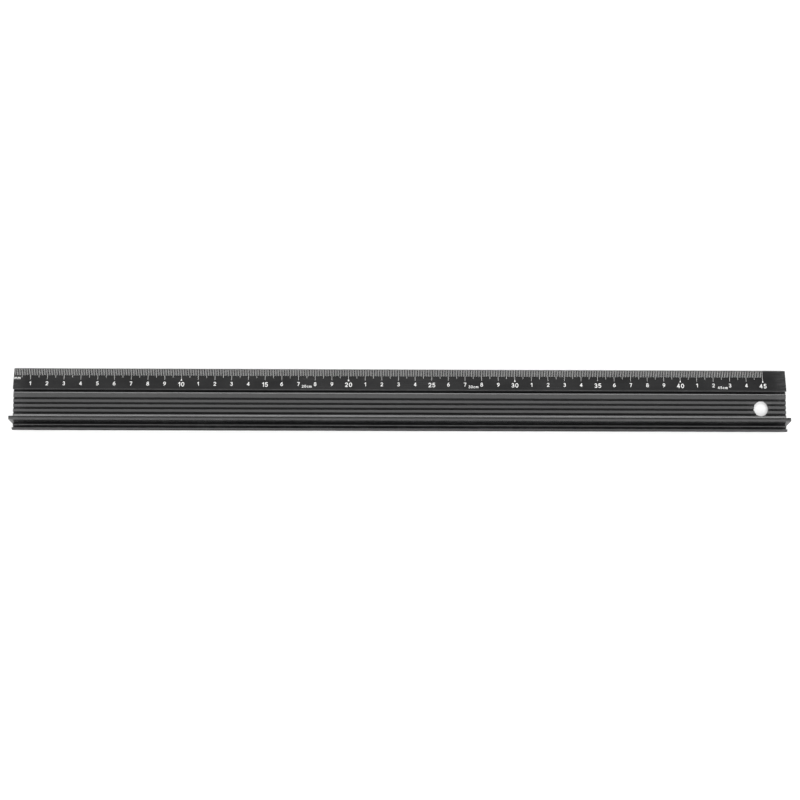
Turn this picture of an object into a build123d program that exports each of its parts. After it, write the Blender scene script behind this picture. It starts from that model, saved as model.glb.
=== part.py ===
from build123d import *
import math
import os

# A black safety cutting ruler, in millimetres. +X runs along the scale from its zero end
# towards the hang hole, +Y from the cutting edge to the scale edge and +Z up. The origin is
# on the table under the middle of the ruler.
LENGTH = 464.0
WIDTH = 37.0
HEIGHT = 10.0

# Cross-section. The first number of each place is its distance from the cutting face.
UNDERSIDE = 0.4  # the rail rides this high on its rubber strips
PLATE_TOP = 2.2
CHANNEL_ROOF = 1.1  # top of the channels cut up into the underside
UNDERCUT = 0.2  # how far a channel is wider at its roof than at its mouth, each side

# Scale band: a bevel that falls from its crest to a thin rear edge.
CREST = 24.3
CREST_TOP = 3.45
REAR_EDGE_TOP = 1.3
GUTTER_WIDTH = 1.5
GUTTER_ROOT = 1.1

# Grip plate: V grooves between flat ribs, with a gentle bevel down to the gutter.
GUTTER_BEVEL_WIDTH = 0.65
GUTTER_BEVEL_FALL = 0.23
GROOVE_COUNT = 4
GROOVE_PITCH = 2.88
FIRST_GROOVE = 19.05
GROOVE_WIDTH = 1.4
GROOVE_ROOT = 1.15

# Finger guard: a fin that leans back over the plate, its top falling a little to the rear.
# Behind it the plate ramps gently up to the fin's root.
FIN_FOOT = 3.55
FIN_TOP_FRONT = 6.1
FIN_TOP_RIDGE = 7.2
FIN_TOP_REAR = 8.2
FIN_TOP_FALL = 0.17
RAMP_START = 9.4
RAMP_END = 7.6
RAMP_RISE = 0.64

# A ledge runs along the fin's foot, and a nose slopes down from it to the steel lip.
LEDGE_FRONT = 3.25
LEDGE_TOP = 2.05
NOSE_TOP = 1.35

# Steel cutting strip: an upright lip on a flat foot, with a key rib on top of the foot.
LIP_WIDTH = 1.65
LIP_TOP = 3.7
STEEL_FOOT_END = 4.0
STEEL_FOOT_TOP = 1.0
LIP_BEVEL_WIDTH = 0.65
LIP_BEVEL_FALL = 0.45
KEY_FRONT = 3.2
KEY_WIDTH = 0.5
KEY_HEIGHT = 0.3

# Rubber strips: each channel's mouth, from and to, and the number of tread grooves.
FRONT_CHANNEL = (5.4, 8.4)
REAR_CHANNEL = (25.6, 31.0)
TREADS_FRONT = 2
TREADS_REAR = 4
TREAD_WIDTH = 0.5
TREAD_DEPTH = 0.2
STRIP_SHORT = 1.0  # each rubber strip stops this far inside each end of the rail

# Hang hole.
HOLE_RADIUS = 4.5
HOLE_FROM_END = 15.0
HOLE_FROM_FRONT = 14.0

# Printed scale. Lengths run down the bevel from the rear edge.
INK = 0.04
SCALE_LENGTH = 450
MARK_START = 0.25
MARK_WIDTH = 0.13
MILLIMETRE_END = 4.2
HALF_CENTIMETRE_END = 5.6
CENTIMETRE_END = 6.8
POINTER_START = 6.1
POINTER_END = 7.3
POINTER_WIDTH = 0.95
UNIT_DIGIT_BASE = 10.4
UNIT_DIGIT_HEIGHT = 2.4
TWO_DIGIT_BASE = 10.9
TWO_DIGIT_HEIGHT = 2.75
LABEL_BASE = 11.4
LABEL_HEIGHT = 1.7
LABELS = ((20, 175.0), (30, 275.0), (45, 425.5))
UNIT_BASE = 6.7
UNIT_HEIGHT = 1.8
UNIT_START = 0.5
STROKE = 0.18  # stroke width as a share of a numeral's height on its centre line
LETTER_GAP = 0.25  # gap between neighbouring characters' strokes, same share
EVERY_MARK = range(1, SCALE_LENGTH + 1)
POINTED_MARKS = (100, 200, 300, 400, SCALE_LENGTH)

SECTION = Plane(origin=(-LENGTH / 2, -WIDTH / 2, 0), x_dir=(0, 1, 0), z_dir=(1, 0, 0))
BEVEL_ANGLE = math.atan2(CREST_TOP - REAR_EDGE_TOP, WIDTH - CREST)
BEVEL = Plane(
    origin=(-LENGTH / 2, WIDTH / 2, REAR_EDGE_TOP),
    x_dir=(1, 0, 0),
    z_dir=(0, math.sin(BEVEL_ANGLE), math.cos(BEVEL_ANGLE)),
)


def extrusion(outline, start=0.0, end=LENGTH):
    """A bar with one constant section, from corners given as (place, height, radius)."""
    places = [(place, height) for place, height, _ in outline]
    radii = [radius for _, _, radius in outline]
    section = make_face(FilletPolyline(*places, radius=radii, close=True))
    return Pos(start, 0, 0) * extrude(SECTION * section, end - start)


def channel(mouth):
    """The four corners of a dovetail channel, met from front to rear along the underside."""
    front, rear = mouth
    return [
        (front, UNDERSIDE, 0),
        (front - UNDERCUT, CHANNEL_ROOF, 0),
        (rear + UNDERCUT, CHANNEL_ROOF, 0),
        (rear, UNDERSIDE, 0),
    ]


def grip_groove(centre):
    """The three corners of a V groove in the plate, met from rear to front."""
    half = GROOVE_WIDTH / 2
    return [
        (centre + half, PLATE_TOP, 0.12),
        (centre, GROOVE_ROOT, 0.08),
        (centre - half, PLATE_TOP, 0.12),
    ]


def key_rib():
    """The corners of the rib on the steel foot, met from front to rear."""
    rear = KEY_FRONT + KEY_WIDTH
    top = STEEL_FOOT_TOP + KEY_HEIGHT
    return [
        (KEY_FRONT, STEEL_FOOT_TOP, 0),
        (KEY_FRONT, top, 0),
        (rear, top, 0),
        (rear, STEEL_FOOT_TOP, 0),
    ]


def aluminium_rail():
    """The extruded rail: plate, fin and scale band in one section, with the hang hole."""
    recess = [
        (LIP_WIDTH, STEEL_FOOT_TOP, 0),
        *key_rib(),
        (STEEL_FOOT_END + UNDERCUT, STEEL_FOOT_TOP, 0),
        (STEEL_FOOT_END, UNDERSIDE, 0),
    ]
    band = [
        (WIDTH, UNDERSIDE, 0.1),
        (WIDTH, REAR_EDGE_TOP, 0.15),
        (CREST, CREST_TOP, 0.3),
        (CREST, GUTTER_ROOT, 0.1),
        (CREST - GUTTER_WIDTH, PLATE_TOP - GUTTER_BEVEL_FALL, 0.12),
        (CREST - GUTTER_WIDTH - GUTTER_BEVEL_WIDTH, PLATE_TOP, 0.8),
    ]
    grooves = []
    for i in range(GROOVE_COUNT):
        grooves += grip_groove(FIRST_GROOVE - i * GROOVE_PITCH)
    fin = [
        (RAMP_START, PLATE_TOP, 0.5),
        (RAMP_END, PLATE_TOP + RAMP_RISE, 1.2),
        (FIN_TOP_REAR, HEIGHT - FIN_TOP_FALL, 0.3),
        (FIN_TOP_RIDGE, HEIGHT, 1.5),
        (FIN_TOP_FRONT, HEIGHT, 0.4),
        (FIN_FOOT, LEDGE_TOP, 0.25),
        (LEDGE_FRONT, LEDGE_TOP, 0.12),
        (LIP_WIDTH, NOSE_TOP, 0),
    ]
    rail = extrusion(recess + channel(FRONT_CHANNEL) + channel(REAR_CHANNEL) + band + grooves + fin)
    hole_x = LENGTH / 2 - HOLE_FROM_END
    hole = Pos(hole_x, HOLE_FROM_FRONT - WIDTH / 2, HEIGHT / 2) * Cylinder(HOLE_RADIUS, HEIGHT)
    return rail - hole


def steel_cutting_strip():
    """The lip that guides the knife, with its foot and key rib under the rail."""
    return extrusion(
        [
            (0, UNDERSIDE, 0.2),
            (STEEL_FOOT_END, UNDERSIDE, 0),
            (STEEL_FOOT_END + UNDERCUT, STEEL_FOOT_TOP, 0),
            *reversed(key_rib()),
            (LIP_WIDTH, STEEL_FOOT_TOP, 0),
            (LIP_WIDTH, LIP_TOP, 0.3),
            (LIP_BEVEL_WIDTH, LIP_TOP, 0.2),
            (0, LIP_TOP - LIP_BEVEL_FALL, 0.2),
        ]
    )


def grip_strip(mouth, treads):
    """A rubber strip that fills its channel and stands on the table with a ribbed tread."""
    front, rear = mouth
    land = (rear - front - treads * TREAD_WIDTH) / (treads + 1)
    outline = [(front, UNDERSIDE, 0), (front, 0, 0.1)]
    for i in range(treads):
        near = front + land + i * (land + TREAD_WIDTH)
        far = near + TREAD_WIDTH
        outline += [(near, 0, 0), (near, TREAD_DEPTH, 0), (far, TREAD_DEPTH, 0), (far, 0, 0)]
    outline += [(rear, 0, 0.1), (rear, UNDERSIDE, 0)]
    outline += [(rear + UNDERCUT, CHANNEL_ROOF, 0), (front - UNDERCUT, CHANNEL_ROOF, 0)]
    return extrusion(outline, STRIP_SHORT, LENGTH - STRIP_SHORT)


def on_bevel(piece, x, down):
    """A piece moved to a place on the scale band, x from the zero end."""
    return BEVEL.location * Pos(x, -down, 0) * piece


def marks(positions, end):
    """Straight scale marks from the rear edge down the bevel."""
    mark = Box(MARK_WIDTH, end - MARK_START, INK, align=(Align.CENTER, Align.MAX, Align.MIN))
    return Compound(children=[on_bevel(mark, x, MARK_START) for x in positions])


def pen(*lines):
    """One pen stroke with round ends along joined lines and arcs."""
    path = Wire([edge for line in lines for edge in line.edges()])
    return Sketch() + Face(path.offset_2d(STROKE / 2))


def ring(x, y, half_width, half_height):
    """A closed oval pen stroke."""
    half = STROKE / 2
    outer = Pos(x, y) * Ellipse(half_width + half, half_height + half)
    inner = Pos(x, y) * Ellipse(half_width - half, half_height - half)
    return outer - inner


def digit_two():
    top = CenterArc((0.3, 0.71), 0.29, 165, -200)
    return pen(top, Polyline(top @ 1, (0.02, 0), (0.6, 0)))


def digit_three():
    top = pen(CenterArc((0.27, 0.76), 0.24, 150, -240))
    return top + pen(CenterArc((0.28, 0.28), 0.28, 90, -240))


def digit_four():
    return pen(Polyline((0.46, 1.0), (0, 0.27), (0.64, 0.27))) + pen(Line((0.46, 0), (0.46, 1.0)))


def digit_five():
    bowl = CenterArc((0.26, 0.31), 0.31, 132, -272)
    return pen(Polyline((0.54, 1.0), (0.1, 1.0), (0.05, 0.54))) + pen(bowl)


def digit_six():
    tail = pen(ThreePointArc((0.47, 1.0), (0.13, 0.72), (0, 0.3)))
    return ring(0.3, 0.3, 0.3, 0.3) + tail


def digit_nine():
    tail = pen(ThreePointArc((0.13, 0), (0.47, 0.28), (0.6, 0.7)))
    return ring(0.3, 0.7, 0.3, 0.3) + tail


def letter_m():
    shape = pen(Line((0, 0), (0, 0.66)))
    for left in (0, 0.44):
        arch = CenterArc((left + 0.22, 0.44), 0.22, 180, -180)
        shape += pen(arch, Line((left + 0.44, 0.44), (left + 0.44, 0)))
    return shape


# Each character's centre-line width and its flat shape, one unit tall on the centre line.
FONT = {
    "0": (0.62, ring(0.31, 0.5, 0.31, 0.5)),
    "1": (0.3, pen(Polyline((0, 0.74), (0.3, 1.0), (0.3, 0)))),
    "2": (0.6, digit_two()),
    "3": (0.56, digit_three()),
    "4": (0.64, digit_four()),
    "5": (0.57, digit_five()),
    "6": (0.6, digit_six()),
    "7": (0.58, pen(Polyline((0, 1.0), (0.58, 1.0), (0.2, 0)))),
    "8": (0.6, ring(0.3, 0.76, 0.24, 0.24) + ring(0.3, 0.27, 0.3, 0.27)),
    "9": (0.6, digit_nine()),
    "c": (0.55, pen(CenterArc((0.33, 0.33), 0.33, 50, 260))),
    "m": (0.88, letter_m()),
}


def lettering(text, height):
    """Ink solids of a short text, its left edge at x = 0 and its foot at y = 0."""
    solids = []
    size = height / (1 + STROKE)
    x = STROKE / 2
    for character in text:
        width, shape = FONT[character]
        raised = extrude(scale(shape, by=size), INK)
        solids += (Pos(size * x, size * STROKE / 2) * raised).solids()
        x += width + STROKE + LETTER_GAP
    return Compound(children=solids)


def centred(text, height, x, base):
    """The ink solids of a text centred over x, its foot at a distance down the bevel."""
    ink = lettering(text, height)
    return on_bevel(ink, x - ink.bounding_box().center().X, base).solids()


def scale_numerals():
    """Unit digits at every centimetre, and full numbers at every fifth from 10 on."""
    numerals = []
    for centimetre in range(1, SCALE_LENGTH // 10 + 1):
        if centimetre >= 10 and centimetre % 5 == 0:
            text, height, base = str(centimetre), TWO_DIGIT_HEIGHT, TWO_DIGIT_BASE
        else:
            text, height, base = str(centimetre % 10), UNIT_DIGIT_HEIGHT, UNIT_DIGIT_BASE
        numerals += centred(text, height, 10 * centimetre, base)
    return Compound(children=numerals)


def ten_centimetre_pointers():
    """A small triangle at the foot of each ten-centimetre mark and of the last mark."""
    tip = (MARK_WIDTH / 2, POINTER_END - POINTER_START)
    foot = POINTER_WIDTH / 2
    outline = Polyline((-foot, 0), (foot, 0), tip, (-tip[0], tip[1]), close=True)
    pointer = extrude(make_face(outline), INK)
    return Compound(children=[on_bevel(pointer, x, POINTER_END) for x in POINTED_MARKS])


def length_labels():
    """Small labels that name the useful lengths of the scale."""
    labels = []
    for length, x in LABELS:
        labels += centred(f"{length}cm", LABEL_HEIGHT, x, LABEL_BASE)
    return Compound(children=labels)


def unit_label():
    """The scale's unit, printed at its zero end."""
    return on_bevel(lettering("mm", UNIT_HEIGHT), UNIT_START, UNIT_BASE)


def centimetre_marks():
    """The longest marks, cut short where a pointer carries them on."""
    plain = [x for x in EVERY_MARK if x % 10 == 0 and x not in POINTED_MARKS]
    return Compound(children=[marks(plain, CENTIMETRE_END), marks(POINTED_MARKS, POINTER_START)])


nodes = {
    "aluminium_rail": aluminium_rail(),
    "steel_cutting_strip": steel_cutting_strip(),
    "front_grip_strip": grip_strip(FRONT_CHANNEL, TREADS_FRONT),
    "rear_grip_strip": grip_strip(REAR_CHANNEL, TREADS_REAR),
    "millimetre_marks": marks([x for x in EVERY_MARK if x % 5], MILLIMETRE_END),
    "half_centimetre_marks": marks([x for x in EVERY_MARK if x % 10 == 5], HALF_CENTIMETRE_END),
    "centimetre_marks": centimetre_marks(),
    "ten_centimetre_pointers": ten_centimetre_pointers(),
    "scale_numerals": scale_numerals(),
    "length_labels": length_labels(),
    "unit_label": unit_label(),
}
os.makedirs("parts", exist_ok=True)
for name, shape in nodes.items():
    export_step(shape, f"parts/{name}.step")
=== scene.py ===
import math

import bmesh
import bpy
from mathutils import Matrix, Vector
from mathutils.geometry import delaunay_2d_cdt


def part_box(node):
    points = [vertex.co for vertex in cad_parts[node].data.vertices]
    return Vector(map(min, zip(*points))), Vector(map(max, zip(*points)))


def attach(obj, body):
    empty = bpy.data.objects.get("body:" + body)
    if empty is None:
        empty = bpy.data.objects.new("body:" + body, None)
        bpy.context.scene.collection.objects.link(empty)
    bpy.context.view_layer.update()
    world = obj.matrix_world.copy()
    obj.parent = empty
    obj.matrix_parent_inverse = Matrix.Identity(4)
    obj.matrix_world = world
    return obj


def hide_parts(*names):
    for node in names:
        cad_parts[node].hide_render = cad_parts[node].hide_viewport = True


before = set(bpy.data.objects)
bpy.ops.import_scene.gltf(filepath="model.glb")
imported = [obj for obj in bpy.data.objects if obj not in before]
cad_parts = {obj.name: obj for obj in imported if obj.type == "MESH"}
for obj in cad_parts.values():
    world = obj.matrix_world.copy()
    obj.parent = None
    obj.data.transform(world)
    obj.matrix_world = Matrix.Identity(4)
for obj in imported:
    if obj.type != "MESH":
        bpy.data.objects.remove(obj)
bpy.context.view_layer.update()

MM = 0.001
rail_low, rail_high = (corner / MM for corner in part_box("aluminium_rail"))
steel_low, steel_high = (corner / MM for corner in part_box("steel_cutting_strip"))
front_low, front_high = (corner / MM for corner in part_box("front_grip_strip"))
rear_low, rear_high = (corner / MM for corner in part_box("rear_grip_strip"))

# Sizes in millimetres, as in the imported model. Places in the cross-section are counted from
# the cutting face towards the scale edge.
LENGTH = rail_high.x - rail_low.x
WIDTH = rail_high.y - steel_low.y
HEIGHT = rail_high.z
UNDERSIDE = rail_low.z
PLATE_TOP = 2.2
CHANNEL_ROOF = front_high.z
UNDERCUT = 0.2
CREST = 24.3
CREST_TOP = 3.45
REAR_EDGE_TOP = 1.3
GUTTER_WIDTH = 1.5
GUTTER_ROOT = 1.1
GUTTER_BEVEL_WIDTH = 0.65
GUTTER_BEVEL_FALL = 0.23
GROOVE_COUNT = 4
GROOVE_PITCH = 2.88
FIRST_GROOVE = 19.05
GROOVE_WIDTH = 1.4
GROOVE_ROOT = 1.15
FIN_FOOT = 3.55
FIN_TOP_FRONT = 6.1
FIN_TOP_RIDGE = 7.2
FIN_TOP_REAR = 8.2
FIN_TOP_FALL = 0.17
RAMP_START = 9.4
RAMP_END = 7.6
RAMP_RISE = 0.64
LEDGE_FRONT = 3.25
LEDGE_TOP = 2.05
NOSE_TOP = 1.35
LIP_WIDTH = rail_low.y - steel_low.y
LIP_TOP = steel_high.z
LIP_BEVEL_WIDTH = 0.65
LIP_BEVEL_FALL = 0.45
STEEL_FOOT_END = 4.0
STEEL_FOOT_TOP = 1.0
KEY_FRONT = 3.2
KEY_WIDTH = 0.5
KEY_HEIGHT = 0.3
TREAD_WIDTH = 0.5
TREAD_DEPTH = 0.2
HOLE_RADIUS = 4.5
HOLE_FROM_END = 15.0
HOLE_FROM_FRONT = 14.0
EDGE_BREAK = 0.06  # the metal's sawn ends and the hole's rims are broken by this much
RUBBER_EDGE_BREAK = 0.04
TREADS_FRONT = 2
TREADS_REAR = 4

# Printed scale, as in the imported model.
INK = 0.04
SCALE_LENGTH = 450
UNIT_DIGIT_BASE = 10.4
UNIT_DIGIT_HEIGHT = 2.4
TWO_DIGIT_BASE = 10.9
TWO_DIGIT_HEIGHT = 2.75
LABEL_BASE = 11.4
LABEL_HEIGHT = 1.7
LABELS = ((20, 175.0), (30, 275.0), (45, 425.5))
UNIT_BASE = 6.7
UNIT_HEIGHT = 1.8
UNIT_START = 0.5
STROKE = 0.18  # stroke width as a share of a numeral's height on its centre line
LETTER_GAP = 0.25  # gap between neighbouring characters' strokes, same share

# How finely the meshes are cut.
ARC_STEP = math.radians(9)
PEN_ARC_STEP = math.radians(7.5)
PEN_END_STEP = math.radians(15)
ARC_GUARD = 0.1  # a point on the flat this far from each arc keeps the flat's shading flat
RING_SPACING = 8.0
HOLE_SIDES = 96
SHARP_ANGLE = math.radians(30)

# Materials: the coatings' refractive index, and the depth of the fine relief in metres.
COATING_IOR = 1.6
FINE_RELIEF = 0.00002
PEBBLE_RELIEF = 0.00006
INK_RELIEF = 0.00001

# Studio: a round floor in metres, and the camera's place in millimetres from the middle of
# the cutting edge, with its turns from looking straight down.
FLOOR_RADIUS = 3.0
FLOOR_SIDES = 96
CAMERA_PLACE = (-11.07, -22.22, 639.2)
CAMERA_TILT = math.radians(3.667)
CAMERA_PAN = math.radians(-0.898)
CAMERA_ROLL = math.radians(0.180)
CAMERA_LENS = 47.85


# ---------------------------------------------------------------- meshes

def arc_points(centre, start, sweep, step=ARC_STEP):
    """Points along an arc about a centre, from a start point, both ends included."""
    steps = max(2, math.ceil(abs(sweep) / step))
    spoke = start - centre
    return [centre + Matrix.Rotation(sweep * i / steps, 2) @ spoke for i in range(steps + 1)]


def rounded(corners):
    """The closed outline through (place, height, radius) corners, with each arc cut into
    short steps and a guard point on the flat at each side of it."""
    outline = []
    for i, (place, height, radius) in enumerate(corners):
        here = Vector((place, height))
        before = Vector(corners[i - 1][:2]) - here
        after = Vector(corners[(i + 1) % len(corners)][:2]) - here
        half = before.angle(after) / 2
        reach = radius / math.tan(half)
        if radius == 0:
            outline.append(here)
            continue
        inward = (before.normalized() + after.normalized()).normalized()
        centre = here + inward * radius / math.sin(half)
        start = here + before.normalized() * reach
        sweep = math.pi - 2 * half
        if before.x * after.y - before.y * after.x > 0:
            sweep = -sweep
        if before.length > 2 * (reach + ARC_GUARD):
            outline.append(start + before.normalized() * ARC_GUARD)
        outline += arc_points(centre, start, sweep)
        if after.length > 2 * (reach + ARC_GUARD):
            outline.append(here + after.normalized() * (reach + ARC_GUARD))
    return outline


def inset(outline, amount):
    """The outline moved inwards, corner by corner. It runs with its inside on the left."""
    moved = []
    for i, here in enumerate(outline):
        before = (here - outline[i - 1]).normalized()
        after = (outline[(i + 1) % len(outline)] - here).normalized()
        mitre = Vector((-before.y - after.y, before.x + after.x))
        moved.append(here + mitre * (2 * amount / max(mitre.length_squared, 0.5)))
    return moved


def bar(name, corners, start, end, chamfer=EDGE_BREAK):
    """A long bar of one rounded section between two places along the ruler, its sawn ends
    broken by a chamfer that is smaller than any outer corner's radius."""
    outline = rounded(corners)
    small = inset(outline, chamfer)
    inner_length = end - start - 2 * chamfer
    spans = max(1, round(inner_length / RING_SPACING))
    stations = [(start, small)]
    stations += [(start + chamfer + inner_length * i / spans, outline) for i in range(spans + 1)]
    stations += [(end, small)]
    mesh = bmesh.new()
    rings = []
    for x, section in stations:
        points = [((x - LENGTH / 2) * MM, (p.x - WIDTH / 2) * MM, p.y * MM) for p in section]
        rings.append([mesh.verts.new(point) for point in points])
    count = len(outline)
    for near, far in zip(rings, rings[1:]):
        for i in range(count):
            j = (i + 1) % count
            mesh.faces.new((near[i], near[j], far[j], far[i]))
    for triangle in filled(small):
        mesh.faces.new([rings[0][i] for i in reversed(triangle)])
        mesh.faces.new([rings[-1][i] for i in triangle])
    return finished(name, mesh)


def filled(outline):
    """Well-shaped triangles that fill an outline, as numbers of its points."""
    made = delaunay_2d_cdt(outline, [], [list(range(len(outline)))], 1, 1e-5)
    triangles, numbers, sources = made[2], made[3], made[5]
    return [[numbers[i][0] for i in t] for t, source in zip(triangles, sources) if source]


def finished(name, mesh):
    """A scene object from a bmesh, its normals facing out."""
    bmesh.ops.recalc_face_normals(mesh, faces=mesh.faces)
    data = bpy.data.meshes.new(name)
    mesh.to_mesh(data)
    mesh.free()
    piece = bpy.data.objects.new(name, data)
    bpy.context.scene.collection.objects.link(piece)
    return piece


def bake_modifiers(piece):
    """The piece's modifiers applied to its mesh."""
    evaluated = piece.evaluated_get(bpy.context.evaluated_depsgraph_get())
    data = bpy.data.meshes.new_from_object(evaluated)
    piece.modifiers.clear()
    piece.data = data


def shade(piece):
    """Smooth shading that keeps flats flat and corners sharp."""
    piece.data.shade_smooth()
    piece.data.set_sharp_from_angle(angle=SHARP_ANGLE)
    weighted = piece.modifiers.new("flats", "WEIGHTED_NORMAL")
    weighted.keep_sharp = True
    weighted.weight = 100
    bake_modifiers(piece)


def mark_wear(piece):
    """A mesh attribute that is 1 on outer edges and 0 on flats and inner corners."""
    mesh = bmesh.new()
    mesh.from_mesh(piece.data)
    wear = []
    for vertex in mesh.verts:
        angles = [e.calc_face_angle_signed(0.0) for e in vertex.link_edges]
        wear.append(1.0 if max(angles) > ARC_STEP / 3 else 0.0)
    mesh.free()
    attribute = piece.data.attributes.new("wear", "FLOAT", "POINT")
    attribute.data.foreach_set("value", wear)


def hole_cutter():
    """A lathe shape that cuts the hang hole with both rims broken."""
    levels = [
        (UNDERSIDE - 1, HOLE_RADIUS + EDGE_BREAK + 1),
        (UNDERSIDE + EDGE_BREAK, HOLE_RADIUS),
        (PLATE_TOP - EDGE_BREAK, HOLE_RADIUS),
        (PLATE_TOP + 1, HOLE_RADIUS + EDGE_BREAK + 1),
    ]
    centre_x = (LENGTH / 2 - HOLE_FROM_END) * MM
    centre_y = (HOLE_FROM_FRONT - WIDTH / 2) * MM
    mesh = bmesh.new()
    rings = []
    for z, radius in levels:
        ring = []
        for i in range(HOLE_SIDES):
            angle = 2 * math.pi * (i + 0.5) / HOLE_SIDES
            x = centre_x + radius * MM * math.cos(angle)
            y = centre_y + radius * MM * math.sin(angle)
            ring.append(mesh.verts.new((x, y, z * MM)))
        rings.append(ring)
    for low, high in zip(rings, rings[1:]):
        for i in range(HOLE_SIDES):
            j = (i + 1) % HOLE_SIDES
            mesh.faces.new((low[i], low[j], high[j], high[i]))
    mesh.faces.new(rings[0][::-1])
    mesh.faces.new(rings[-1])
    return finished("hole_cutter", mesh)


def channel(low, high):
    """A dovetail channel's corners around a packed rubber strip's box."""
    front = low.y + WIDTH / 2
    rear = high.y + WIDTH / 2
    return [
        (front + UNDERCUT, UNDERSIDE, 0),
        (front, CHANNEL_ROOF, 0),
        (rear, CHANNEL_ROOF, 0),
        (rear - UNDERCUT, UNDERSIDE, 0),
    ]


def grip_groove(centre):
    """The three corners of a V groove in the plate, met from rear to front."""
    half = GROOVE_WIDTH / 2
    return [
        (centre + half, PLATE_TOP, 0.12),
        (centre, GROOVE_ROOT, 0.08),
        (centre - half, PLATE_TOP, 0.12),
    ]


def key_rib():
    """The corners of the rib on the steel foot, met from front to rear."""
    rear = KEY_FRONT + KEY_WIDTH
    top = STEEL_FOOT_TOP + KEY_HEIGHT
    return [
        (KEY_FRONT, STEEL_FOOT_TOP, 0),
        (KEY_FRONT, top, 0),
        (rear, top, 0),
        (rear, STEEL_FOOT_TOP, 0),
    ]


def aluminium_rail():
    """The extruded rail with its hang hole."""
    corners = [
        (LIP_WIDTH, STEEL_FOOT_TOP, 0),
        *key_rib(),
        (STEEL_FOOT_END + UNDERCUT, STEEL_FOOT_TOP, 0),
        (STEEL_FOOT_END, UNDERSIDE, 0),
    ]
    corners += channel(front_low, front_high) + channel(rear_low, rear_high)
    corners += [
        (WIDTH, UNDERSIDE, 0.1),
        (WIDTH, REAR_EDGE_TOP, 0.15),
        (CREST, CREST_TOP, 0.3),
        (CREST, GUTTER_ROOT, 0.1),
        (CREST - GUTTER_WIDTH, PLATE_TOP - GUTTER_BEVEL_FALL, 0.12),
        (CREST - GUTTER_WIDTH - GUTTER_BEVEL_WIDTH, PLATE_TOP, 0.8),
    ]
    for i in range(GROOVE_COUNT):
        corners += grip_groove(FIRST_GROOVE - i * GROOVE_PITCH)
    corners += [
        (RAMP_START, PLATE_TOP, 0.5),
        (RAMP_END, PLATE_TOP + RAMP_RISE, 1.2),
        (FIN_TOP_REAR, HEIGHT - FIN_TOP_FALL, 0.3),
        (FIN_TOP_RIDGE, HEIGHT, 1.5),
        (FIN_TOP_FRONT, HEIGHT, 0.4),
        (FIN_FOOT, LEDGE_TOP, 0.25),
        (LEDGE_FRONT, LEDGE_TOP, 0.12),
        (LIP_WIDTH, NOSE_TOP, 0),
    ]
    rail = bar("rail_extrusion", corners, 0, LENGTH)
    cutter = hole_cutter()
    cut = rail.modifiers.new("hang_hole", "BOOLEAN")
    cut.object = cutter
    cut.solver = "EXACT"
    bake_modifiers(rail)
    bpy.data.objects.remove(cutter)
    return rail


def steel_strip():
    """The lip that guides the knife, with its foot and key rib."""
    corners = [
        (0, UNDERSIDE, 0.2),
        (STEEL_FOOT_END, UNDERSIDE, 0),
        (STEEL_FOOT_END + UNDERCUT, STEEL_FOOT_TOP, 0),
        *reversed(key_rib()),
        (LIP_WIDTH, STEEL_FOOT_TOP, 0),
        (LIP_WIDTH, LIP_TOP, 0.3),
        (LIP_BEVEL_WIDTH, LIP_TOP, 0.2),
        (0, LIP_TOP - LIP_BEVEL_FALL, 0.2),
    ]
    return bar("cutting_strip_steel", corners, 0, LENGTH)


def grip_strip(name, low, high, treads):
    """A rubber strip with rounded lands between its tread grooves."""
    front = low.y + WIDTH / 2 + UNDERCUT
    rear = high.y + WIDTH / 2 - UNDERCUT
    land = (rear - front - treads * TREAD_WIDTH) / (treads + 1)
    corners = [(front, UNDERSIDE, 0), (front, 0, 0.1)]
    for i in range(treads):
        near = front + land + i * (land + TREAD_WIDTH)
        far = near + TREAD_WIDTH
        corners += [(near, 0, 0.06), (near, TREAD_DEPTH, 0.08)]
        corners += [(far, TREAD_DEPTH, 0.08), (far, 0, 0.06)]
    corners += [(rear, 0, 0.1), (rear, UNDERSIDE, 0)]
    corners += [(rear + UNDERCUT, CHANNEL_ROOF, 0), (front - UNDERCUT, CHANNEL_ROOF, 0)]
    return bar(name, corners, low.x + LENGTH / 2, high.x + LENGTH / 2, RUBBER_EDGE_BREAK)


# ---------------------------------------------------------------- printed figures

def arc(x, y, radius_x, radius_y, start, sweep):
    """Points along an oval arc, angles in degrees."""
    steps = max(2, math.ceil(math.radians(abs(sweep)) / PEN_ARC_STEP - 1e-9))
    angles = [math.radians(start + sweep * i / steps) for i in range(steps + 1)]
    return [Vector((x + radius_x * math.cos(a), y + radius_y * math.sin(a))) for a in angles]


def arc_through(start, middle, end):
    """Points along the circular arc through three points."""
    a, b, c = Vector(start), Vector(middle), Vector(end)
    twice_area = 2 * ((b - a).x * (c - a).y - (b - a).y * (c - a).x)
    ab, ac = (b - a).length_squared, (c - a).length_squared
    centre = a + Vector((
        ((c - a).y * ab - (b - a).y * ac) / twice_area,
        ((b - a).x * ac - (c - a).x * ab) / twice_area,
    ))
    sweep = (c - centre).angle_signed(a - centre)
    return arc_points(centre, a, sweep, PEN_ARC_STEP)


def line(*points):
    return [Vector(point) for point in points]


def ribbon(path):
    """The outline of a pen stroke along a smooth path, with round ends, anticlockwise."""
    half = STROKE / 2
    left, right = [], []
    for i, here in enumerate(path):
        before = (here - path[i - 1]).normalized() if i else None
        after = (path[i + 1] - here).normalized() if i + 1 < len(path) else None
        along = ((before or after) + (after or before)).normalized()
        side = Vector((-along.y, along.x)) * half
        left.append(here + side)
        right.append(here - side)
    end_cap = arc_points(path[-1], left[-1], -math.pi, PEN_END_STEP)[1:-1]
    start_cap = arc_points(path[0], right[0], -math.pi, PEN_END_STEP)[1:-1]
    return (left + end_cap + right[::-1] + start_cap)[::-1]


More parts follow.
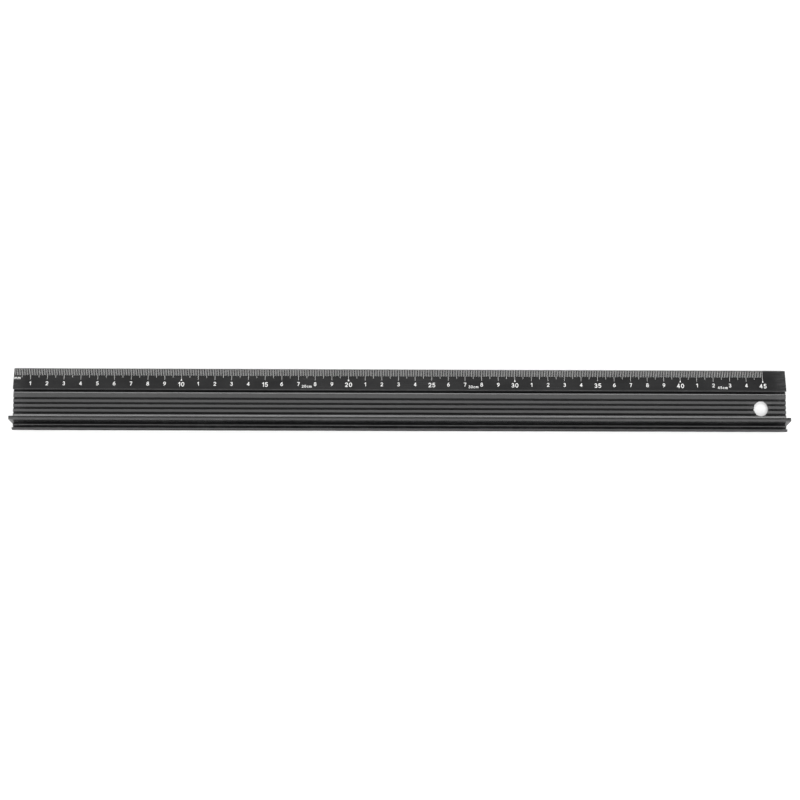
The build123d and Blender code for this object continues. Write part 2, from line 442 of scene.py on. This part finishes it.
def ring(x, y, half_width, half_height):
    """Two half rings that close an oval pen stroke."""
    half = STROKE / 2
    halves = []
    for start in (0, 180):
        outer = arc(x, y, half_width + half, half_height + half, start, 180)
        inner = arc(x, y, half_width - half, half_height - half, start, 180)
        halves.append(outer + inner[::-1])
    return halves


def figure_two():
    top = arc(0.3, 0.71, 0.29, 0.29, 165, -200)
    return [ribbon(top + line((0.02, 0))), ribbon(line((0.02, 0), (0.6, 0)))]


def letter_m():
    shapes = [ribbon(line((0, 0), (0, 0.66)))]
    for left in (0, 0.44):
        arch = arc(left + 0.22, 0.44, 0.22, 0.22, 180, -180)
        shapes.append(ribbon(arch + line((left + 0.44, 0))))
    return shapes


# Each character: its centre-line width and the outlines whose union draws it, one unit tall.
FONT = {
    "0": (0.62, ring(0.31, 0.5, 0.31, 0.5)),
    "1": (0.3, [ribbon(line((0, 0.74), (0.3, 1))), ribbon(line((0.3, 1), (0.3, 0)))]),
    "2": (0.6, figure_two()),
    "3": (0.56, [ribbon(arc(0.27, 0.76, 0.24, 0.24, 150, -240)),
                 ribbon(arc(0.28, 0.28, 0.28, 0.28, 90, -240))]),
    "4": (0.64, [ribbon(line((0.46, 1), (0, 0.27))), ribbon(line((0, 0.27), (0.64, 0.27))),
                 ribbon(line((0.46, 0), (0.46, 1)))]),
    "5": (0.57, [ribbon(line((0.54, 1), (0.1, 1))), ribbon(line((0.1, 1), (0.05, 0.54))),
                 ribbon(arc(0.26, 0.31, 0.31, 0.31, 132, -272))]),
    "6": (0.6, ring(0.3, 0.3, 0.3, 0.3)
          + [ribbon(arc_through((0.47, 1), (0.13, 0.72), (0, 0.3)))]),
    "7": (0.58, [ribbon(line((0, 1), (0.58, 1))), ribbon(line((0.58, 1), (0.2, 0)))]),
    "8": (0.6, ring(0.3, 0.76, 0.24, 0.24) + ring(0.3, 0.27, 0.3, 0.27)),
    "9": (0.6, ring(0.3, 0.7, 0.3, 0.3)
          + [ribbon(arc_through((0.13, 0), (0.47, 0.28), (0.6, 0.7)))]),
    "c": (0.55, [ribbon(arc(0.33, 0.33, 0.33, 0.33, 50, 260))]),
    "m": (0.88, letter_m()),
}


def merged(outlines):
    """One flat set of triangles that covers overlapping outlines, as (points, triangles)."""
    points, faces = [], []
    for outline in outlines:
        faces.append(list(range(len(points), len(points) + len(outline))))
        points += outline
    made = delaunay_2d_cdt(points, [], faces, 1, 1e-5)
    places, triangles, sources = made[0], made[2], made[5]
    return places, [t for t, source in zip(triangles, sources) if source]


GLYPHS = {character: merged(outlines) for character, (_, outlines) in FONT.items()}


def text_width(text):
    widths = [FONT[character][0] for character in text]
    return sum(widths) + len(text) * STROKE + (len(text) - 1) * LETTER_GAP


def print_text(mesh, text, height, x, base):
    """Raised ink for a text whose left edge is at x and whose foot is base down the bevel."""
    size = height / (1 + STROKE)
    pen_x = STROKE / 2
    for character in text:
        places, triangles = GLYPHS[character]
        flat = [(x + size * (pen_x + p.x), size * (STROKE / 2 + p.y) - base) for p in places]
        foot = [mesh.verts.new(on_bevel(px, py, 0)) for px, py in flat]
        top = [mesh.verts.new(on_bevel(px, py, INK)) for px, py in flat]
        seen = {}
        for a, b, c in triangles:
            mesh.faces.new((top[a], top[b], top[c]))
            mesh.faces.new((foot[c], foot[b], foot[a]))
            for i, j in ((a, b), (b, c), (c, a)):
                seen[(i, j)] = (j, i) not in seen and (i, j) not in seen
                if (j, i) in seen:
                    seen[(j, i)] = seen[(i, j)] = False
        for (i, j), outer in seen.items():
            if outer:
                mesh.faces.new((foot[i], foot[j], top[j], top[i]))
        pen_x += FONT[character][0] + STROKE + LETTER_GAP


bevel_angle = math.atan2(CREST_TOP - REAR_EDGE_TOP, WIDTH - CREST)


def on_bevel(x, up, proud):
    """A point on the scale band: x from the zero end, up towards the rear edge."""
    y = WIDTH / 2 + up * math.cos(bevel_angle) + proud * math.sin(bevel_angle)
    z = REAR_EDGE_TOP - up * math.sin(bevel_angle) + proud * math.cos(bevel_angle)
    return (x - LENGTH / 2) * MM, y * MM, z * MM


def scale_numerals():
    mesh = bmesh.new()
    for centimetre in range(1, SCALE_LENGTH // 10 + 1):
        if centimetre >= 10 and centimetre % 5 == 0:
            text, height, base = str(centimetre), TWO_DIGIT_HEIGHT, TWO_DIGIT_BASE
        else:
            text, height, base = str(centimetre % 10), UNIT_DIGIT_HEIGHT, UNIT_DIGIT_BASE
        half = text_width(text) * height / (1 + STROKE) / 2
        print_text(mesh, text, height, 10 * centimetre - half, base)
    return finished("printed_numerals", mesh)


def length_labels():
    mesh = bmesh.new()
    for length, x in LABELS:
        text = f"{length}cm"
        half = text_width(text) * LABEL_HEIGHT / (1 + STROKE) / 2
        print_text(mesh, text, LABEL_HEIGHT, x - half, LABEL_BASE)
    return finished("printed_length_labels", mesh)


def unit_label():
    mesh = bmesh.new()
    print_text(mesh, "mm", UNIT_HEIGHT, UNIT_START, UNIT_BASE)
    return finished("printed_unit_label", mesh)


# ---------------------------------------------------------------- materials

class Nodes:
    """A short way to add and link the nodes of one material."""

    def __init__(self, name):
        self.material = bpy.data.materials.new(name)
        self.material.use_nodes = True
        self.tree = self.material.node_tree
        self.shader = self.tree.nodes["Principled BSDF"]
        self.place = self.add("ShaderNodeTexCoord").outputs["Object"]

    def add(self, kind, **settings):
        node = self.tree.nodes.new(kind)
        for key, value in settings.items():
            setattr(node, key, value)
        return node

    def link(self, source, target):
        self.tree.links.new(source, target)

    def stretched(self, scale):
        mapping = self.add("ShaderNodeMapping")
        mapping.inputs["Scale"].default_value = scale
        self.link(self.place, mapping.inputs["Vector"])
        return mapping.outputs["Vector"]

    def noise(self, scale, detail=2.0, roughness=0.5):
        """Noise in the object's own space, so many cells per metre along each axis."""
        node = self.add("ShaderNodeTexNoise")
        node.inputs["Scale"].default_value = 1.0
        node.inputs["Detail"].default_value = detail
        node.inputs["Roughness"].default_value = roughness
        self.link(self.stretched(scale), node.inputs["Vector"])
        return node.outputs["Fac"]

    def end_face(self):
        """1 on faces that are square to the ruler's length and 0 on its sides."""
        normal = self.add("ShaderNodeSeparateXYZ")
        self.link(self.add("ShaderNodeTexCoord").outputs["Normal"], normal.inputs["Vector"])
        return self.remap(self.maths("ABSOLUTE", normal.outputs["X"]), 0.8, 0.9, 0.0, 1.0)

    def worn_edges(self, end_face):
        """1 on the outer edges of the sides, fading to 0 on flats and end faces."""
        wear = self.add("ShaderNodeAttribute", attribute_name="wear").outputs["Fac"]
        return self.maths("MULTIPLY", wear, self.maths("SUBTRACT", 1.0, end_face))

    def blend(self, factor, first, second):
        """The first value where the factor is 0, the second where it is 1."""
        rest = self.maths("MULTIPLY", first, self.maths("SUBTRACT", 1.0, factor))
        return self.maths("ADD", rest, self.maths("MULTIPLY", second, factor))

    def remap(self, value, from_low, from_high, to_low, to_high):
        node = self.add("ShaderNodeMapRange")
        for socket, number in zip(node.inputs[1:5], (from_low, from_high, to_low, to_high)):
            socket.default_value = number
        self.link(value, node.inputs["Value"])
        return node.outputs["Result"]

    def maths(self, operation, first, second=0.0):
        node = self.add("ShaderNodeMath", operation=operation)
        for socket, value in zip(node.inputs, (first, second)):
            if isinstance(value, (int, float)):
                socket.default_value = value
            else:
                self.link(value, socket)
        return node.outputs["Value"]

    def mix(self, factor, first, second):
        node = self.add("ShaderNodeMix", data_type="RGBA")
        self.link(factor, node.inputs["Factor"])
        for socket, colour in ((node.inputs[6], first), (node.inputs[7], second)):
            if isinstance(colour, tuple):
                socket.default_value = (*colour, 1.0)
            else:
                self.link(colour, socket)
        return node.outputs[2]

    def bump(self, height, strength, distance, previous=None):
        node = self.add("ShaderNodeBump")
        node.inputs["Strength"].default_value = strength
        node.inputs["Distance"].default_value = distance
        self.link(height, node.inputs["Height"])
        if previous is not None:
            self.link(previous, node.inputs["Normal"])
        return node.outputs["Normal"]

    def set(self, name, value):
        socket = self.shader.inputs[name]
        if isinstance(value, bpy.types.NodeSocket):
            self.link(value, socket)
        else:
            socket.default_value = (*value, 1.0) if isinstance(value, tuple) else value


def anodised_aluminium():
    """Black dyed anodising over drawn aluminium: faint die lines along the rail, saw lines
    across its ends, a fine etched grain, cloudy dye and edges rubbed a little lighter."""
    m = Nodes("black_anodised_aluminium")
    die_lines = m.noise((3.0, 2600.0, 2600.0), detail=3.0)
    grain = m.noise((9000.0, 9000.0, 9000.0), detail=2.0)
    cloud = m.noise((35.0, 90.0, 90.0), detail=3.0)
    rub = m.noise((160.0, 900.0, 900.0), detail=4.0, roughness=0.65)
    end_face = m.end_face()
    worn = m.maths("MULTIPLY", m.worn_edges(end_face), m.remap(rub, 0.42, 0.7, 0.15, 0.75))
    cloudiness = m.remap(cloud, 0.3, 0.7, 0.0, 1.0)
    dye = m.mix(cloudiness, (0.0045, 0.0045, 0.0048), (0.007, 0.007, 0.0073))
    m.set("Base Color", m.mix(worn, dye, (0.06, 0.06, 0.061)))
    m.set("Metallic", 0.0)
    saw_lines = m.noise((40.0, 40.0, 3200.0), detail=4.0)
    die_gloss = m.remap(die_lines, 0.3, 0.7, -0.03, 0.03)
    saw_gloss = m.remap(saw_lines, 0.3, 0.7, -0.02, 0.16)
    line_gloss = m.blend(end_face, die_gloss, saw_gloss)
    m.set("Roughness", m.maths("ADD", m.remap(cloud, 0.3, 0.7, 0.2, 0.26), line_gloss))
    m.set("IOR", COATING_IOR)
    marks = m.blend(end_face, die_lines, m.maths("MULTIPLY", saw_lines, 2.0))
    relief = m.bump(marks, 0.25, FINE_RELIEF)
    m.set("Normal", m.bump(grain, 0.2, FINE_RELIEF, relief))
    return m.material


def blackened_steel():
    """Oxide-blacked hardened steel, ground lengthwise, bright where knives have rubbed it."""
    m = Nodes("blackened_steel")
    grinding = m.noise((6.0, 4200.0, 4200.0), detail=4.0, roughness=0.6)
    cloud = m.noise((60.0, 200.0, 200.0), detail=3.0)
    rub = m.noise((220.0, 700.0, 700.0), detail=5.0, roughness=0.7)
    end_face = m.end_face()
    worn = m.maths("MULTIPLY", m.worn_edges(end_face), m.remap(rub, 0.45, 0.7, 0.1, 0.7))
    cloudiness = m.remap(cloud, 0.3, 0.7, 0.0, 1.0)
    oxide = m.mix(cloudiness, (0.009, 0.0093, 0.0098), (0.014, 0.0144, 0.015))
    m.set("Base Color", m.mix(worn, oxide, (0.08, 0.08, 0.082)))
    m.set("Metallic", 0.0)
    saw_lines = m.noise((40.0, 40.0, 5200.0), detail=3.0)
    marks = m.blend(end_face, grinding, saw_lines)
    m.set("Roughness", m.remap(marks, 0.3, 0.7, 0.24, 0.34))
    m.set("IOR", COATING_IOR)
    m.set("Normal", m.bump(marks, 0.3, FINE_RELIEF))
    return m.material


def grip_rubber():
    """Dull black rubber with a fine pebbled skin and a little dust."""
    m = Nodes("grip_rubber")
    pebble = m.noise((2600.0, 2600.0, 2600.0), detail=3.0, roughness=0.6)
    dust = m.noise((180.0, 500.0, 500.0), detail=5.0, roughness=0.7)
    dusty = m.remap(dust, 0.45, 0.75, 0.0, 0.6)
    m.set("Base Color", m.mix(dusty, (0.018, 0.018, 0.018), (0.05, 0.048, 0.045)))
    m.set("Roughness", m.remap(pebble, 0.3, 0.7, 0.72, 0.9))
    m.set("Normal", m.bump(pebble, 0.5, PEBBLE_RELIEF))
    return m.material


def white_ink():
    """Screen-printed white ink, slightly uneven in cover, with a dull skin."""
    m = Nodes("white_ink")
    cover = m.noise((700.0, 700.0, 700.0), detail=3.0)
    skin = m.noise((8000.0, 8000.0, 8000.0), detail=1.0)
    cloudiness = m.remap(cover, 0.3, 0.7, 0.0, 1.0)
    m.set("Base Color", m.mix(cloudiness, (0.66, 0.66, 0.65), (0.8, 0.8, 0.79)))
    m.set("Roughness", m.remap(skin, 0.3, 0.7, 0.45, 0.6))
    m.set("Normal", m.bump(skin, 0.2, INK_RELIEF))
    return m.material


def floor_material():
    m = Nodes("pale_floor")
    mottle = m.noise((3.0, 3.0, 3.0), detail=2.0)
    m.set("Base Color", m.mix(mottle, (0.9, 0.9, 0.9), (0.93, 0.93, 0.93)))
    m.set("Roughness", 0.9)
    return m.material


# ---------------------------------------------------------------- pieces

def stand_in(piece, node, material, worn=False):
    """Shades a new piece, gives it its material and stands it in for its CAD node."""
    shade(piece)
    if worn:
        mark_wear(piece)
    piece.data.materials.clear()
    piece.data.materials.append(material)
    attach(piece, "root")
    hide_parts(node)


def repaint(node, material):
    """A better material on a CAD node that stays as it is."""
    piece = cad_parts[node]
    for slot in piece.material_slots:
        slot.material = material


anodised = anodised_aluminium()
steel = blackened_steel()
rubber = grip_rubber()
ink = white_ink()
stand_in(aluminium_rail(), "aluminium_rail", anodised, worn=True)
stand_in(steel_strip(), "steel_cutting_strip", steel, worn=True)
front_strip = grip_strip("front_grip_rubber", front_low, front_high, TREADS_FRONT)
rear_strip = grip_strip("rear_grip_rubber", rear_low, rear_high, TREADS_REAR)
stand_in(front_strip, "front_grip_strip", rubber)
stand_in(rear_strip, "rear_grip_strip", rubber)
stand_in(scale_numerals(), "scale_numerals", ink)
stand_in(length_labels(), "length_labels", ink)
stand_in(unit_label(), "unit_label", ink)
repaint("millimetre_marks", ink)
repaint("half_centimetre_marks", ink)
repaint("centimetre_marks", ink)
repaint("ten_centimetre_pointers", ink)


# ---------------------------------------------------------------- stage, light and camera

def floor():
    mesh = bmesh.new()
    bmesh.ops.create_circle(mesh, cap_ends=True, segments=FLOOR_SIDES, radius=FLOOR_RADIUS)
    plane = finished("floor", mesh)
    plane.data.materials.append(floor_material())


def softbox(name, distance, low, high, width, radiance):
    """A soft panel facing the ruler, spanning two angles from straight up (+ to the rear)."""
    low, high = math.radians(low), math.radians(high)
    middle = (low + high) / 2
    depth = 2 * distance * math.tan((high - low) / 2)
    data = bpy.data.lights.new(name, "AREA")
    data.shape = "RECTANGLE"
    data.size, data.size_y = width, depth
    data.energy = radiance * math.pi * width * depth
    light = bpy.data.objects.new(name, data)
    light.location = (0, distance * math.sin(middle), distance * math.cos(middle))
    light.rotation_euler = (-middle, 0, 0)
    light.visible_camera = False
    bpy.context.scene.collection.objects.link(light)


def sky():
    """Dim overhead and pale round the horizon, so that the floor's edge doesn't show."""
    world = bpy.data.worlds.new("studio")
    bpy.context.scene.world = world
    world.use_nodes = True
    nodes, links = world.node_tree.nodes, world.node_tree.links
    direction = nodes.new("ShaderNodeTexCoord")
    height = nodes.new("ShaderNodeSeparateXYZ")
    glow = nodes.new("ShaderNodeMapRange")
    glow.interpolation_type = "SMOOTHSTEP"
    for socket, number in zip(glow.inputs[1:5], (0.1, 0.35, 1.0, 0.28)):
        socket.default_value = number
    links.new(direction.outputs["Generated"], height.inputs["Vector"])
    links.new(height.outputs["Z"], glow.inputs["Value"])
    links.new(glow.outputs["Result"], nodes["Background"].inputs["Strength"])
    nodes["Background"].inputs["Color"].default_value = (1, 1, 1, 1)


def camera():
    data = bpy.data.cameras.new("camera")
    data.lens = CAMERA_LENS
    data.sensor_width = 36.0
    view = bpy.data.objects.new("camera", data)
    tilt = Matrix.Rotation(CAMERA_TILT, 4, "X")
    pan = Matrix.Rotation(CAMERA_PAN, 4, "Y")
    roll = Matrix.Rotation(CAMERA_ROLL, 4, "Z")
    position = (Vector(CAMERA_PLACE) - Vector((0, WIDTH / 2, 0))) * MM
    view.matrix_world = Matrix.Translation(position) @ tilt @ pan @ roll
    bpy.context.scene.collection.objects.link(view)
    bpy.context.scene.camera = view


floor()
sky()
softbox("overhead", 3.25, -50, 8, 14.0, 1.95)
softbox("rear", 3.75, 36, 50, 4.0, 6.0)
camera()
bpy.context.scene.view_settings.view_transform = "Standard"
